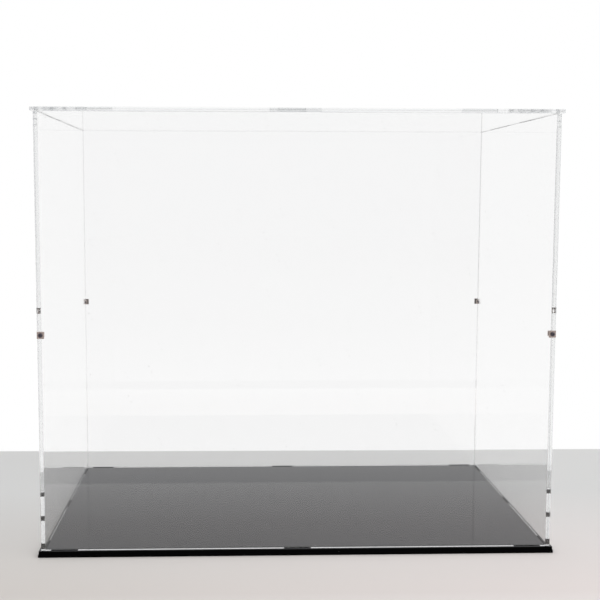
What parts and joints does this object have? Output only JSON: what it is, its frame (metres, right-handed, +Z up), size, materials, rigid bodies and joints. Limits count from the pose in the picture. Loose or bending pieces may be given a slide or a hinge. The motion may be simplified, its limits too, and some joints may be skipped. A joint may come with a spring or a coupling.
{
  "type": "display case",
  "caption": "Clear box-shaped display case on a black base: tabbed clear walls stand in slots of the base, held at the corners by small screws, and a clear top drops over tabs on the walls.",
  "frame": {"origin": "middle of the base's underside, on the surface that the case stands on", "axes": "+X to the viewer's right along the width, +Y towards the back, +Z up"},
  "size_m": [0.4044, 0.2606, 0.3465],
  "materials": {
    "black_acrylic": "polished black acrylic sheet",
    "clear_acrylic": "clear cast acrylic sheet, laser-cut edges",
    "screw_steel": "dark plated steel",
    "washer_metal": "nickel-plated brass, worn warm"
  },
  "bodies": {
    "base": {"base_lower_plate": "black_acrylic", "base_upper_plate": "black_acrylic"},
    "walls": {"front_panel": "clear_acrylic", "back_panel": "clear_acrylic", "left_panel": "clear_acrylic", "right_panel": "clear_acrylic", "corner_screw_front_left": "screw_steel", "corner_screw_front_right": "screw_steel", "corner_screw_back_left": "screw_steel", "corner_screw_back_right": "screw_steel", "corner_washer_front_left": "washer_metal", "corner_washer_front_right": "washer_metal", "corner_washer_back_left": "washer_metal", "corner_washer_back_right": "washer_metal", "corner_nut_front_left": "washer_metal", "corner_nut_front_right": "washer_metal", "corner_nut_back_left": "washer_metal", "corner_nut_back_right": "washer_metal"},
    "top": {"top_panel": "clear_acrylic"}
  },
  "joints": [
    {"name": "cover_lift", "type": "slide", "parent": "base", "child": "walls", "axis": [0, 0, 1], "range_m": [0, 0.36]},
    {"name": "top_lift", "type": "slide", "parent": "walls", "child": "top", "axis": [0, 0, 1], "range_m": [0, 0.15]}
  ]
}
